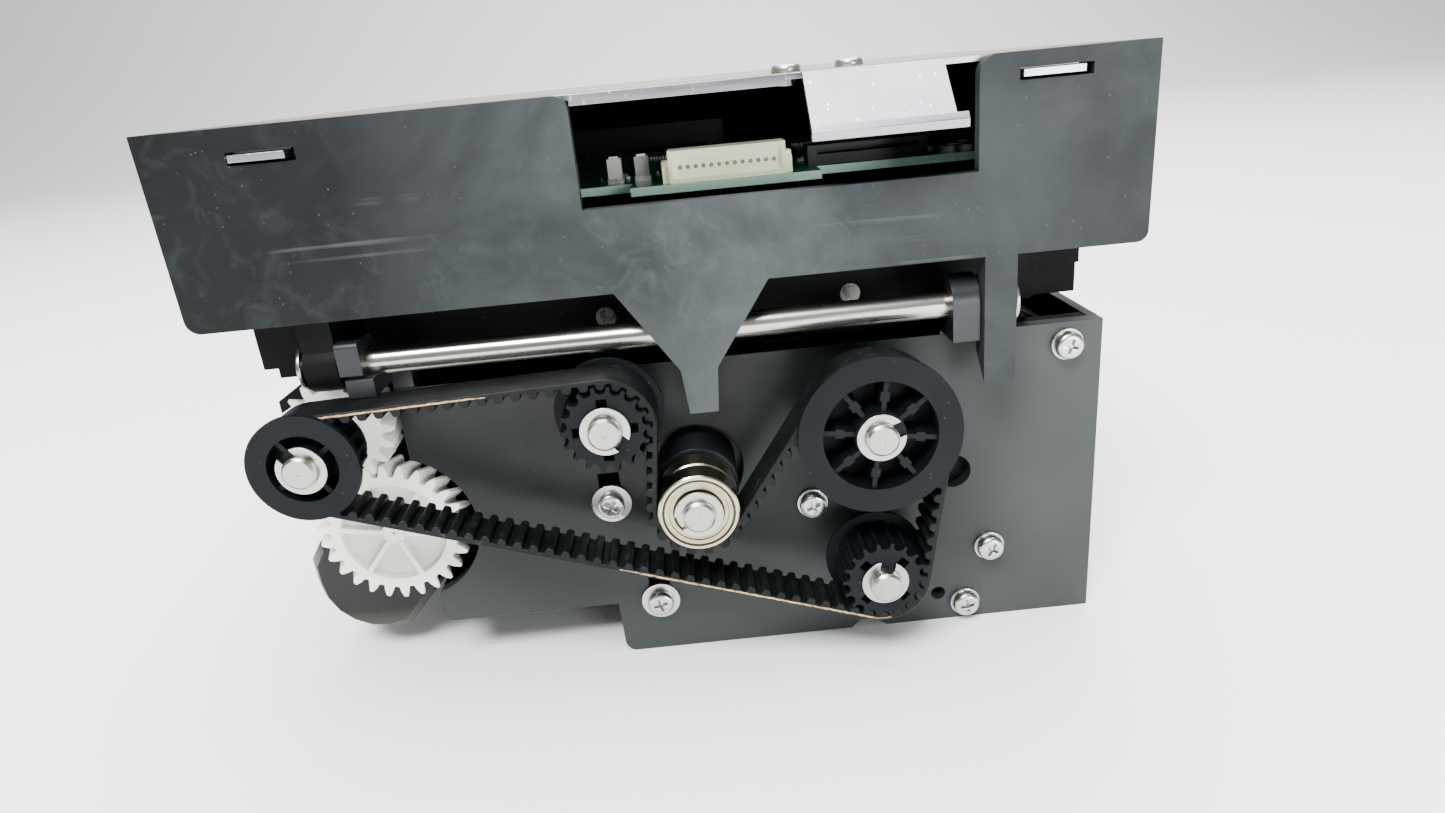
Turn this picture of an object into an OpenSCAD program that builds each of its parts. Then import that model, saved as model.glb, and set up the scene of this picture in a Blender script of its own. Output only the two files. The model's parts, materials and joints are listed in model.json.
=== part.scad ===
// Bill validator: a lower transport unit with a timing-belt drive on its front
// side plate, and an upper sensor unit that opens on a steel hinge shaft.
// X runs along the note's travel, Y across the note and Z up. The origin is in
// the underside of the base, in the middle of the depth.

/* [Case] */
// Right edge of the front side plate
plate_right = 81.2; // [80:0.1:83]
// Left edge of the front side plate, beside the gears
plate_left = -56; // [-56.2:0.1:-55.8]
// Top edge of the lower unit
lower_top = 64.4; // [64:0.1:64.6]
// Front face of the front side plate
plate_front = -90; // [-90:0.5:-90]
// Rear face of the rear side plate
plate_rear = 99; // [99:1:104]
// Thickness of the side plates
plate_t = 3; // [3:0.1:3]
// Thickness of the inner bearing walls
wall_t = 2.5; // [2.5:0.1:2.5]

/* [Upper housing] */
// Left side of the upper housing
housing_left = -85.3; // [-87:0.1:-85]
// Right side of the upper housing
housing_right = 83.7; // [83:0.1:85]
// Bottom edge of the upper housing
housing_bottom = 80.8; // [80:0.1:81]
// Top edge of the upper housing
housing_top = 114.2; // [112:0.1:118]
// Wall thickness of the upper housing
housing_t = 2.5; // [2.5:0.1:3]

/* [Belt drive] */
// Pitch of the belt teeth
belt_pitch = 3; // [3:0.1:3]
// Width of the belt
belt_w = 9; // [8:0.5:9]
// Teeth on the inlet, middle and drive pulleys
small_teeth = 18; // [18:1:18]
// Teeth on the outlet pulley
large_teeth = 28; // [28:1:28]
// Radius of the roller shafts
shaft_r = 3; // [3:0.1:3]

/* [Gears] */
// Gear module
gear_module = 1.08; // [1.08:0.01:1.08]
// Teeth on the inlet gear
inlet_gear_teeth = 18; // [18:1:18]
// Teeth on the feed gear
feed_gear_teeth = 26; // [26:1:26]

/* [Hinge] */
// Height of the hinge axis
hinge_z = 71.4; // [71.2:0.1:71.6]
// Distance of the hinge axis in front of the origin
hinge_y = -94; // [-94.1:0.1:-93.9]
// Radius of the hinge shaft
hinge_r = 2.5; // [2.5:0.1:2.5]

/* [Hidden] */
$fn = 48;

// Layers from front to back
wall_front = plate_front + plate_t;
wall_inner = wall_front + wall_t;
rear_wall_outer = plate_rear - plate_t;
rear_wall_inner = rear_wall_outer - wall_t;
recess_front = -80;
belt_front = -106;
belt_rear = belt_front + belt_w;
shaft_front = -109.5;
running = 0.05;

// Shaft centres, [x, z]
inlet_c = [-68.6, 56.6];
middle_c = [-14.9, 58.1];
idler_c = [0, 40.5];
outlet_c = [34, 51.7];
drive_c = [34, 21.4];
feed_c = [-62.86, 33.54];
gear_cut_c = [-61.3, 34.26];
roller_shafts = [inlet_c, middle_c, outlet_c, feed_c];

// Note path: the driven rollers reach path_z, and the pinch rollers sit just above
path_z = 65.5;
deck_bottom = 62;
deck_top = 65;
guide_bottom = 66.5;
guide_top = 68.5;
roller_ys = [-58, -18, 32, 70];
roller_w = 14;
pinch_r = 6;
pinch_z = path_z + 0.3 + pinch_r;
pinch_shaft_r = 2;
frame_front = -80.5;
frame_rear = 90.5;
frame_t = 2.5;
frame_deck = 82;
sensor_x = [-3, 13];
board_z = 94.6;
board_t = 1.6;

// Screws through the front side plate, [x, z], and the two in adjusting slots
plain_screws = [[74.1, 60.1], [22.8, 31.4], [59.4, 17.3], [54.3, 4.3]];
slot_screw_centres = [[-17.8, 35.9], [-10.5, 12.2]];
rear_screws = [[74, 58], [-50, 58], [-50, 18], [70, 8]];
screw_r = 1.5;

// Belt geometry
small_pitch_r = small_teeth * belt_pitch / (2 * PI);
large_pitch_r = large_teeth * belt_pitch / (2 * PI);
idler_r = 7.5;
idler_pitch_r = 8.25;
belt_back = 0.6;
belt_land = 0.3;
// Wheels in belt order, [centre, signed pitch radius]: minus where the back bears
wheels = [[inlet_c, small_pitch_r], [middle_c, small_pitch_r],
    [idler_c, -idler_pitch_r], [outlet_c, large_pitch_r], [drive_c, small_pitch_r]];
arc_steps = 24;

function wheel(i) = wheels[(i + len(wheels)) % len(wheels)];
function turn(a) = a - 360 * floor(a / 360);
// Direction of the belt's outward normal on the straight span after wheel i
function span_normal(i) = let (p = wheel(i), q = wheel(i + 1), d = q[0] - p[0])
    atan2(d[1], d[0]) + asin((q[1] - p[1]) / norm(d)) + 90;
function sweep(i) = wheel(i)[1] > 0 ? -turn(span_normal(i - 1) - span_normal(i))
    : turn(span_normal(i) - span_normal(i - 1));
function span_length(i) = let (p = wheel(i), q = wheel(i + 1))
    sqrt(pow(norm(q[0] - p[0]), 2) - pow(q[1] - p[1], 2));
function arc_length(i) = abs(sweep(i) * wheel(i)[1]) * PI / 180;
function arc_start(i) = i == 0 ? 0
    : arc_start(i - 1) + arc_length(i - 1) + span_length(i - 1);
// Angle of a groove that meets a belt tooth on wheel i
function groove_angle(i) = let (lead = belt_pitch * ceil(arc_start(i) / belt_pitch)
        - arc_start(i))
    span_normal(i - 1) - lead / wheel(i)[1] * 180 / PI;
function belt_outline(off) = [for (i = [0:len(wheels) - 1], k = [0:arc_steps])
    let (a = span_normal(i - 1) + sweep(i) * k / arc_steps)
    wheel(i)[0] + (wheel(i)[1] + off) * [cos(a), sin(a)]];

function arc(c, r, a0, a1, n = 6) =
    [for (k = [0:n]) let (a = a0 + (a1 - a0) * k / n) c + r * [cos(a), sin(a)]];

// Involute tooth outline
pressure = 20;
backlash = 0.06;
function involute(a) = tan(a) * 180 / PI - a;
function half_tooth(n, r) = let (rb = n * gear_module / 2 * cos(pressure))
    90 / n - backlash / (n * gear_module / 2) * 180 / PI + involute(pressure)
    - involute(acos(min(1, rb / max(r, rb))));

// An (x, z) outline extruded from y0 to y1
module slab(y0, y1) translate([0, y1, 0]) rotate([90, 0, 0]) linear_extrude(y1 - y0) children();
// A (y, z) outline extruded from x0 to x1
module beam(x0, x1) translate([x0, 0, 0]) rotate([90, 0, 90]) linear_extrude(x1 - x0) children();
module rod(c, r, y0, y1) translate([c[0], y0, c[1]]) rotate([-90, 0, 0]) cylinder(r = r, h = y1 - y0);
module box(a, b) translate(a) cube(b - a);
module ring(c, r_out, r_in, y0, y1) difference() {
    rod(c, r_out, y0, y1);
    rod(c, r_in, y0 - 1, y1 + 1);
}
module e_ring(c, y0, angle) difference() {
    ring(c, 4.5, shaft_r, y0, y0 + 0.7);
    translate([c[0], y0 - 1, c[1]]) rotate([0, -angle, 0]) translate([1, 0, -1.4]) cube([6, 3, 2.8]);
}

// ---------------- Lower unit ----------------

module plate_outline() polygon(concat(
    [[plate_left, lower_top], [plate_right, lower_top], [plate_right, 0], [37.4, 0],
        [34.9, 1.9], [32, 1.9], [29.8, 0]],
    arc([-16.8, 2.5], 2.5, 270, 180),
    [[-19.6, 12]],
    arc([plate_left + 1.5, 13.5], 1.5, 270, 180)));

module front_side_plate() color("#3a3d40") difference() {
    slab(plate_front, wall_front) difference() {
        plate_outline();
        translate(gear_cut_c) circle(r = cut_r, $fn = 96);
        translate([52, 35]) circle(r = 3.5);
        translate([48.7, 6.5]) circle(r = 1.5);
        translate([11.1, 13.7]) square([4.5, 2]);
        for (c = plain_screws) translate(c) circle(r = 1.6);
        for (c = slot_screw_centres) translate(c + [-2.1, -1.6]) square([4.2, 8]);
        for (c = [middle_c, outlet_c, drive_c]) translate(c) circle(r = 5);
        translate(idler_c + [0, 1]) circle(r = 9.4);
    }
}

module rear_side_plate() color("#3a3d40")
    slab(rear_wall_outer, plate_rear) difference() {
        polygon(concat([[-80, lower_top], [plate_right, lower_top]],
            arc([plate_right - 3, 3], 3, 0, -90), arc([-16, 3], 3, 270, 180),
            [[-19, 12], [-57, 12], [-80, 30]]));
        for (c = rear_screws) translate(c) circle(r = 1.6);
        for (c = roller_shafts) translate(c) circle(r = 5);
    }

module wall_outline(z0) polygon([[-80.5, 63.4], [plate_left - 0.5, 63.4], [plate_left, lower_top],
    [78.7, lower_top], [78.7, z0], [-16.5, z0], [-16.5, 14.5], [-56.5, 14.5],
    [-56.5, 29], [-80.5, 29]]);

// Front wall: level with the plate's back, and stepped back behind the gears
cut_r = 16;
recess_right = -42;
module recess_outline() polygon([[-80.5, 59.3], [-76, 61.6], [recess_right, 61.6], [recess_right, 14.5],
    [-56.5, 14.5], [-56.5, 29], [-80.5, 29]]);
module front_bearing_wall() color("#1c1d1f") {
    slab(wall_front, wall_inner) difference() {
        polygon([[plate_left, lower_top], [78.7, lower_top], [78.7, 2.2], [-16.5, 2.2],
            [-16.5, 14.5], [plate_left, 14.5]]);
        translate(gear_cut_c) circle(r = cut_r, $fn = 96);
        for (c = [middle_c, outlet_c]) translate(c) circle(r = 4.5);
        translate(drive_c) circle(r = 4);
        translate(idler_c + [0, 1]) circle(r = 9.4);
        for (c = plain_screws) translate(c) circle(r = 1.6);
        for (c = slot_screw_centres) translate(c + [-2.1, -1.6]) square([4.2, 8]);
        for (x = [44, 24]) translate([x, 9.5]) circle(r = 1.6);
    }
    slab(wall_inner, recess_front) difference() {
        polygon([[plate_left, 61.6], [recess_right, 61.6], [recess_right, 14.5], [plate_left, 14.5]]);
        translate(gear_cut_c) circle(r = cut_r, $fn = 96);
    }
    slab(recess_front, recess_front + wall_t) difference() {
        recess_outline();
        for (c = [inlet_c, feed_c]) translate(c) circle(r = 4.5);
    }
}

module rear_bearing_wall() color("#1c1d1f") slab(rear_wall_inner, rear_wall_outer) difference() {
    wall_outline(2.2);
    for (c = roller_shafts) translate(c) circle(r = 4.5);
    for (c = rear_screws) translate(c) circle(r = 1.6);
}

base_hole = [60, 126];
base_hole_centre = [35, 3];
module base_pan() color("#2b2d30") difference() {
    slab(wall_front, rear_wall_outer)
        polygon([[plate_right, lower_top], [plate_right, 0], [-19, 0], [-19, 12],
            [-56.5, 12], [-56.5, 14], [-17, 14], [-17, 2], [79.2, 2], [79.2, lower_top]]);
    for (sx = [-1, 1], sy = [-1, 1])
        translate([base_hole_centre[0] + sx * base_hole[0] / 2,
            base_hole_centre[1] + sy * base_hole[1] / 2, -1]) cylinder(r = 2.2, h = 4);
}

// Deck under the note: two flared lips, slots for the rollers and the sensor
guide_ys = [recess_front, rear_wall_inner - 3.2];
module lower_guide() color("#17181a") difference() {
    union() {
        slab(guide_ys[0], guide_ys[1])
            polygon([[-76, deck_top], [68, deck_top], [76, 60.5], [76, 58], [67, deck_bottom],
                [-76, deck_bottom], [-83, 58.4], [-83, 61]]);
        for (x = [-40, 16, 60]) box([x, wall_inner, deck_bottom], [x + 8, rear_wall_inner, deck_top]);
        for (y = [-38, 10, 52]) box([-56, y, deck_bottom - 4], [-26, y + 2, deck_bottom]);
    }
    for (y = roller_ys) {
        box([-77, y - 8, 50], [-60.2, y + 8, 70]);
        box([-22.6, y - 8, 50], [-7.2, y + 8, 70]);
        box([23.2, y - 8, 50], [44.8, y + 8, 70]);
    }
    box([sensor_x[0], guide_ys[0] + 4, 50], [sensor_x[1], guide_ys[1] - 4, 70]);
}

// Rounded nose below the feed roller: an arc at the left and below, then a slope up to the right
nose_centre = [-71.5, 20];
nose_r = 13.7;
nose_right = -57.3;
nose_slope_top = 17.5;
nose_top = 28.7;
nose_corner = [2.6, 3.9];
nose_wall = 2.2;
nose_front = -83;
cavity_left = nose_centre[0] - nose_r + nose_wall + nose_corner[0];
cavity_right = nose_right - nose_wall;
function nose_outline(inset) = let (left = nose_centre[0] - nose_r + inset, right = nose_right - inset,
        top = nose_top - inset / 3)
    concat([[right, top], [right, nose_slope_top + 0.4 * inset]],
        arc(nose_centre, nose_r - inset, 290, 180),
        [[left, top - nose_corner[1]], [left + nose_corner[0], top]]);
module feed_nose() color("#4b463f") {
    hull() {
        slab(nose_front, nose_front + 0.1) polygon(nose_outline(2));
        slab(nose_front + 3, nose_front + 4) polygon(nose_outline(0));
    }
    slab(nose_front + 4, rear_wall_inner) difference() {
        polygon(nose_outline(0));
        polygon(nose_outline(nose_wall));
        translate([cavity_left, nose_slope_top]) square([cavity_right - cavity_left, 20]);
        translate([-60, 22]) square([4, 10]);
    }
    slab(rear_wall_inner, rear_wall_outer) polygon(nose_outline(0));
}

// Plain bush in a wall, with its flange on the inner side; inward is 1 or -1
module bushing(c, wall_y, inward) {
    flange_y = wall_y + (inward > 0 ? wall_t : -1);
    ring(c, 4.5, shaft_r + running, wall_y, wall_y + wall_t);
    ring(c, 5.3, shaft_r + running, flange_y, flange_y + 1);
}
module shaft_bushings() color("#cfc9b8") {
    for (c = [middle_c, outlet_c]) bushing(c, wall_front, 1);
    for (c = [inlet_c, feed_c]) bushing(c, recess_front, 1);
    for (c = roller_shafts) bushing(c, rear_wall_inner, -1);
}

// Bracket behind the wall that carries the idler and slides in the two slots
bracket_t = 2;
module tension_bracket() color("#232426") difference() {
    union() {
        slab(wall_inner, wall_inner + bracket_t)
            polygon([[-16.4, 7], [2, 7], [11, 30], [11, 50], [-23, 50], [-23, 30], [-16.4, 24]]);
        rod(idler_c, 8, -96.6, wall_inner);
    }
    rod(idler_c, shaft_r, -100, -70);
    for (c = slot_screw_centres) rod(c, screw_r, -90, -70);
}
module idler_stud() color("#b9b7b0") rod(idler_c, shaft_r, -110, wall_inner + bracket_t);
idler_bearing_ys = [-108, -102.6];
module idler_bearing_inners() color("#a8a69f")
    for (y = idler_bearing_ys) ring(idler_c, 4.3, shaft_r, y, y + 5);
module idler_ring() color("#c9c8c2") e_ring(idler_c, -108.7, 200);

// Round gear motor on the drive shaft
motor_front = wall_inner;
module drive_motor() color("#8d8f92") difference() {
    union() {
        rod(drive_c, 16, motor_front, motor_front + 22);
        rod(drive_c, 14, motor_front + 22, motor_front + 52);
        rod(drive_c, 5, motor_front + 52, motor_front + 54);
        for (s = [-1, 1])
            box([drive_c[0] + s * 8 - 1.5, motor_front + 52, drive_c[1] - 0.4],
                [drive_c[0] + s * 8 + 1.5, motor_front + 58, drive_c[1] + 0.4]);
    }
    rod(drive_c, shaft_r + running, motor_front - 1, motor_front + 16);
    for (c = [plain_screws[1], [24, 9.5], [44, 9.5]]) rod(c, screw_r, motor_front - 1, motor_front + 5);
}

// Pan-head screw seen from its head; spin turns the cross recess
module screw(c, washer_r, spin, length) {
    difference() {
        translate([c[0], plate_front - 0.8, c[1]]) rotate([90, 0, 0])
            rotate_extrude() polygon(concat([[0, 0], [2.75, 0], [2.75, 0.9]],
                arc([1.75, 0.9], 1, 0, 90), [[0, 2]]));
        for (a = [0, 90]) translate([c[0], plate_front - 2.2, c[1]]) rotate([0, spin + a, 0])
            cube([2.9, 1.5, 0.62], center = true);
    }
    rod(c, washer_r, plate_front - 0.8, plate_front);
    rod(c, screw_r, plate_front, plate_front + length);
}
module case_screws() color("#c8c8c4") {
    for (i = [0:3]) screw(plain_screws[i], 3.1, 20 + 50 * i, i == 1 ? 9.5 : plate_t + wall_t + 1.5);
    for (c = rear_screws) {
        rod(c, 2.75, plate_rear, plate_rear + 2);
        rod(c, screw_r, rear_wall_inner, plate_rear);
    }
}
module slot_screws() color("#d2d2ce")
    for (i = [0:1]) screw(slot_screw_centres[i], 4, 35 + 40 * i, plate_t + wall_t + bracket_t + 1);

module hinge_rod(r, x0, x1) translate([x0, hinge_y, hinge_z]) rotate([0, 90, 0]) cylinder(r = r, h = x1 - x0);
module hinge_shaft() color("#b5b3ab") hinge_rod(hinge_r, -70, 62.6);
module hinge_shaft_rings() color("#c9c8c2") for (x = [-69.4, 61.2]) difference() {
    hinge_rod(4.3, x, x + 0.7);
    hinge_rod(hinge_r, x - 1, x + 2);
}

// Split clip and boss that hold the hinge shaft, with feet on the top edge of the walls
module hinge_clip() color("#26282b") difference() {
    union() {
        beam(-61.7, -57.5) polygon(concat([[hinge_y - 4.9, 70.2], [hinge_y - 4.9, 75.3]],
            arc([hinge_y - 3.9, 75.3], 1, 180, 90, 3), arc([hinge_y + 1.8, 74.4], 1.9, 90, 0, 4),
            [[hinge_y + 3.7, 70.2]]));
        beam(-60.8, -55.7) polygon([[hinge_y - 5.5, 66.2], [hinge_y - 5.5, 69.6], [-87, 69.6], [-87, 68.4],
            [hinge_y + 3.7, 68.4], [hinge_y + 3.7, 66.2]]);
        beam(-60.8, -57.5) polygon([[hinge_y - 3.5, 69], [hinge_y - 3.5, 71], [hinge_y + 3.7, 71],
            [hinge_y + 3.7, 69]]);
        box([-55.9, -90, lower_top], [-52, wall_inner, 69.6]);
    }
    hinge_rod(hinge_r, -80, 0);
}
module hinge_boss() color("#26282b") difference() {
    union() {
        beam(49.4, 54.4) polygon(concat([[hinge_y - 4.8, 65.2], [hinge_y - 4.8, 72.2]],
            arc([hinge_y, 72.2], 4.8, 180, 0, 10), [[hinge_y + 4.8, 65.2]]));
        box([49.4, -90, lower_top], [54.4, wall_inner, 70]);
    }
    hinge_rod(hinge_r, 0, 80);
}

module timing_belt() color("#161618") slab(belt_front, belt_rear) difference() {
    polygon(belt_outline(belt_back));
    polygon(belt_outline(-belt_land));
}

sensor_front = guide_ys[0] + 4.5;
sensor_rear = guide_ys[1] - 4.5;
module lower_image_sensor() color("#202224") {
    box([sensor_x[0] + 0.4, sensor_front, 52], [sensor_x[1] - 0.4, sensor_rear, 64.2]);
    box([sensor_x[0] - 2.5, sensor_front, 59.5], [sensor_x[1] + 2.5, sensor_rear, deck_bottom]);
    box([sensor_x[0] + 2, sensor_front + 4, 50.4], [sensor_x[1] - 2, sensor_rear - 4, 52]);
}
module lower_sensor_window() color("#86a8a0")
    box([sensor_x[0] + 1.5, sensor_front + 1, 64.2], [sensor_x[1] - 1.5, sensor_rear - 1, 65.2]);
module latch_magnet() color("#55585c")
    box([-12, rear_wall_inner, lower_top], [12, plate_rear, lower_top + 3]);

// ---------------- Rotating parts of the lower unit ----------------

module roller_shaft(c) color("#b9b7b0") rod(c, shaft_r, shaft_front, rear_wall_outer - 0.4);
module rollers(c, r, w = roller_w) for (y = roller_ys) {
    ring(c, r, shaft_r + 2.2, y - w / 2, y + w / 2);
    ring(c, shaft_r + 2.2, shaft_r, y - w / 2 - 0.8, y + w / 2 + 0.8);
}
module rear_ring(c) ring(c, 4.5, shaft_r, rear_wall_inner - 2.7, rear_wall_inner - 2);

// Grooved wheel outline; one groove points at angle phase
module pulley_outline(n, tip_r, phase) difference() {
    circle(r = tip_r, $fn = 72);
    for (k = [0:n - 1]) rotate(phase + 360 * k / n) translate([tip_r - 0.3, 0]) circle(r = 0.98, $fn = 24);
}
tip_gap = 0.55;
module toothed(i, n, y0, y1) slab(y0, y1) translate(wheel(i)[0])
    pulley_outline(n, wheel(i)[1] - tip_gap, groove_angle(i));

module inlet_shaft() roller_shaft(inlet_c);
module inlet_rollers() color("#2a2b2c") rollers(inlet_c, 8.9);
module inlet_pulley() color("#1d2026") difference() {
    union() {
        rod(inlet_c, 10, -107.2, belt_front);
        toothed(0, small_teeth, belt_front, belt_rear);
        rod(inlet_c, 7.6, belt_rear, belt_rear + 1);
    }
    rod(inlet_c, shaft_r, -110, -90);
    difference() {
        rod(inlet_c, 6.3, -110, -103);
        rod(inlet_c, 4.1, -107, -100);
        for (a = [35, 125]) translate([inlet_c[0], -104, inlet_c[1]]) rotate([0, -a, 0])
            cube([13, 5, 0.9], center = true);
    }
}
module inlet_rings() color("#c9c8c2") {
    e_ring(inlet_c, -108, 125);
    rear_ring(inlet_c);
}

gear_ys = [-89.3, -83.4];
module tooth(n) {
    pitch_r = n * gear_module / 2;
    radii = [for (k = [0:5]) pitch_r + gear_module * (k * 0.37 - 0.85)];
    polygon(concat(
        [[pitch_r * 0.8, -pitch_r * 0.8 * PI / 2 / n]],
        [for (r = radii) r * [cos(half_tooth(n, r)), -sin(half_tooth(n, r))]],
        [for (k = [5:-1:0]) radii[k] * [cos(half_tooth(n, radii[k])), sin(half_tooth(n, radii[k]))]],
        [[pitch_r * 0.8, pitch_r * 0.8 * PI / 2 / n]]));
}
module gear_outline(n, phase) rotate(phase) {
    circle(r = (n / 2 - 1.25) * gear_module, $fn = 96);
    for (k = [0:n - 1]) rotate(360 * k / n) tooth(n);
}
mesh_angle = atan2(feed_c[1] - inlet_c[1], feed_c[0] - inlet_c[0]);
module inlet_gear() color("#e9e7dd") difference() {
    slab(gear_ys[0], gear_ys[1] + 1.2) translate(inlet_c) gear_outline(inlet_gear_teeth, mesh_angle);
    rod(inlet_c, shaft_r, -100, -70);
}
module middle_shaft() roller_shaft(middle_c);
module middle_rollers() color("#2a2b2c") rollers(middle_c, 7.4);
module socket_cuts(c, angle, y0) for (k = [0:3])
    translate([c[0], y0, c[1]]) rotate([0, angle + 90 * k, 0]) translate([4.9, 0, 0])
        cube([1.9, 5, 1.9], center = true);
module middle_pulley() color("#1d2026") difference() {
    union() {
        toothed(1, small_teeth, -107, belt_rear);
        rod(middle_c, 10.3, belt_rear, belt_rear + 1);
    }
    rod(middle_c, shaft_r, -110, -90);
    socket_cuts(middle_c, 0, -107);
}
module middle_rings() color("#c9c8c2") {
    e_ring(middle_c, -107.7, -45);
    rear_ring(middle_c);
}

module outlet_shaft() roller_shaft(outlet_c);
module outlet_rollers() color("#2a2b2c") rollers(outlet_c, 13.8);
module outlet_pulley() color("#1d2026") difference() {
    union() {
        rod(outlet_c, 15, -107.2, belt_front, $fn = 72);
        toothed(3, large_teeth, belt_front, belt_rear);
        rod(outlet_c, 13.6, belt_rear, belt_rear + 1);
    }
    rod(outlet_c, shaft_r, -110, -90);
    difference() {
        rod(outlet_c, 10.5, -110, -101);
        rod(outlet_c, 4.65, -107, -100);
        for (a = [0:45:135]) translate([outlet_c[0], -103, outlet_c[1]]) rotate([0, a + 8, 0]) {
            cube([22, 7, 0.9], center = true);
            for (side = [-1, 1]) translate([side * 7.4, 0, 0]) cube([1.7, 7, 1.7], center = true);
        }
    }
}
module outlet_rings() color("#c9c8c2") {
    e_ring(outlet_c, -107.9, 20);
    rear_ring(outlet_c);
}

module drive_shaft() color("#b9b7b0") rod(drive_c, shaft_r, shaft_front, motor_front + 15.5);
module drive_pulley() color("#1d2026") difference() {
    union() {
        toothed(4, small_teeth, -106.6, belt_rear);
        rod(drive_c, 9.8, belt_rear, belt_rear + 1);
        rod(drive_c, 5, belt_rear + 1, belt_rear + 4);
    }
    rod(drive_c, shaft_r, -110, -90);
    socket_cuts(drive_c, 45, -106.6);
}
module drive_ring() color("#c9c8c2") e_ring(drive_c, -107.3, 80);

module idler_bearing_outers() color("#b7b0a0") for (y = idler_bearing_ys) difference() {
    rod(idler_c, idler_r, y, y + 5);
    rod(idler_c, 4.36, y - 1, y + 6);
}

feed_shaft_front = gear_ys[0] + 2;
module feed_shaft() color("#b9b7b0") rod(feed_c, shaft_r, feed_shaft_front, rear_wall_outer - 0.4);
module feed_rollers() color("#b08a80") {
    for (y = [-66, -18, 30, 78]) ring(feed_c, 10.5, shaft_r, y - 7, y + 7);
}
module feed_gear() color("#efeee6") difference() {
    slab(gear_ys[0], gear_ys[1])
        translate(feed_c) gear_outline(feed_gear_teeth, mesh_angle + 180 + 180 / feed_gear_teeth);
    difference() {
        rod(feed_c, 10.6, gear_ys[0] - 1, gear_ys[0] + 1.4);
        rod(feed_c, 2.2, gear_ys[0], gear_ys[1]);
        for (a = [0, 60, 120]) translate([feed_c[0], gear_ys[0] + 1, feed_c[1]]) rotate([0, a, 0])
            cube([22, 2, 0.9], center = true);
    }
    rod(feed_c, shaft_r, feed_shaft_front, -70);
}

// ---------------- Upper unit ----------------

window_x = [-14.3, 53.5];
window_z = 95.6;
leg_x = [54.8, 60.6];
slot_left = [[-70.6, 108.2], [-59.4, 110.3]];
slot_right = [[60.2, 109.7], [72.5, 111.6]];
module front_outline() difference() {
    polygon(concat(
        arc([housing_left + 2.5, housing_bottom + 2.5], 2.5, 180, 270),
        [[-10.9, housing_bottom], [-0.7, 65.5], [0.2, 57], [5.5, 57], [6.1, 65.5],
            [16.4, housing_bottom]],
        arc([housing_right - 2, housing_bottom + 2], 2, 270, 360),
        [[housing_right, housing_top]],
        arc([window_x[1] + 3, housing_top - 3], 3, 90, 180),
        [[window_x[1], window_z], [window_x[0], window_z]],
        arc([window_x[0] - 2.5, housing_top - 2.5], 2.5, 0, 90),
        [[housing_left, housing_top]]));
    for (s = [slot_left, slot_right]) translate(s[0]) square(s[1] - s[0]);
}
housing_front = -100;
housing_rear = 103;
module upper_housing() color("#33363a") {
    slab(housing_front, housing_front + housing_t) front_outline();
    beam(leg_x[0], leg_x[1]) difference() {
        union() {
            polygon([[housing_front, 57.4], [housing_front + 5, 62.4],
                [housing_front + 5, frame_deck - 0.4], [housing_front, frame_deck - 0.4]]);
            translate([hinge_y, hinge_z]) circle(r = 4.7);
        }
        translate([hinge_y, hinge_z]) circle(r = hinge_r + running);
    }
    for (x = [housing_left, housing_right - housing_t])
        box([x, housing_front + housing_t, housing_bottom], [x + housing_t, housing_rear, housing_top]);
    box([housing_left, housing_rear - housing_t, housing_bottom], [housing_right, housing_rear, housing_top]);
}

inside_left = housing_left + housing_t;
inside_right = housing_right - housing_t;
inside_front = housing_front + housing_t;
inside_rear = housing_rear - housing_t;
post_centres = [[-50, -55], [62, -55], [-50, 45], [62, 45]];
pinch_xs = [inlet_c[0], middle_c[0], outlet_c[0]];
module arm(x0, x1, r) beam(x0, x1) {
    translate([hinge_y, hinge_z]) circle(r = r);
    translate([hinge_y - 3.3, hinge_z]) square([frame_front - hinge_y + 3.3, frame_deck - hinge_z]);
}
module frame_side() polygon([[-81, 66], [58, 66], [58, 67.8], [79.2, 67.8], [79.2, 73.6], [79.9, 73.6],
    [79.9, frame_deck], [-82.6, frame_deck], [-82.6, 80.6], [-83.8, 80.6], [-83.8, 68], [-81, 68]]);
module upper_frame() color("#141517") difference() {
    union() {
        slab(frame_front, frame_front + frame_t) frame_side();
        slab(frame_rear - frame_t, frame_rear) frame_side();
        box([inside_left, inside_front, frame_deck], [inside_right, inside_rear, frame_deck + 2.5]);
        box([-83.8, frame_front, 72], [-81.3, frame_rear, 80.6]);
        box([77.4, frame_front, 73.6], [79.9, frame_rear, frame_deck]);
        arm(-68, -62, 4.7);
        box([-12, rear_wall_inner, lower_top + 3.3], [12, plate_rear, frame_deck]);
        box([-12, frame_rear, 76], [12, plate_rear, frame_deck]);
        for (c = post_centres) translate([c[0], c[1], frame_deck]) cylinder(r = 3, h = board_z - frame_deck);
    }
    for (x = pinch_xs) rod([x, pinch_z], pinch_shaft_r + running, frame_front - 1, frame_rear + 1);
    hinge_rod(hinge_r + running, -75, -55);
}

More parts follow.
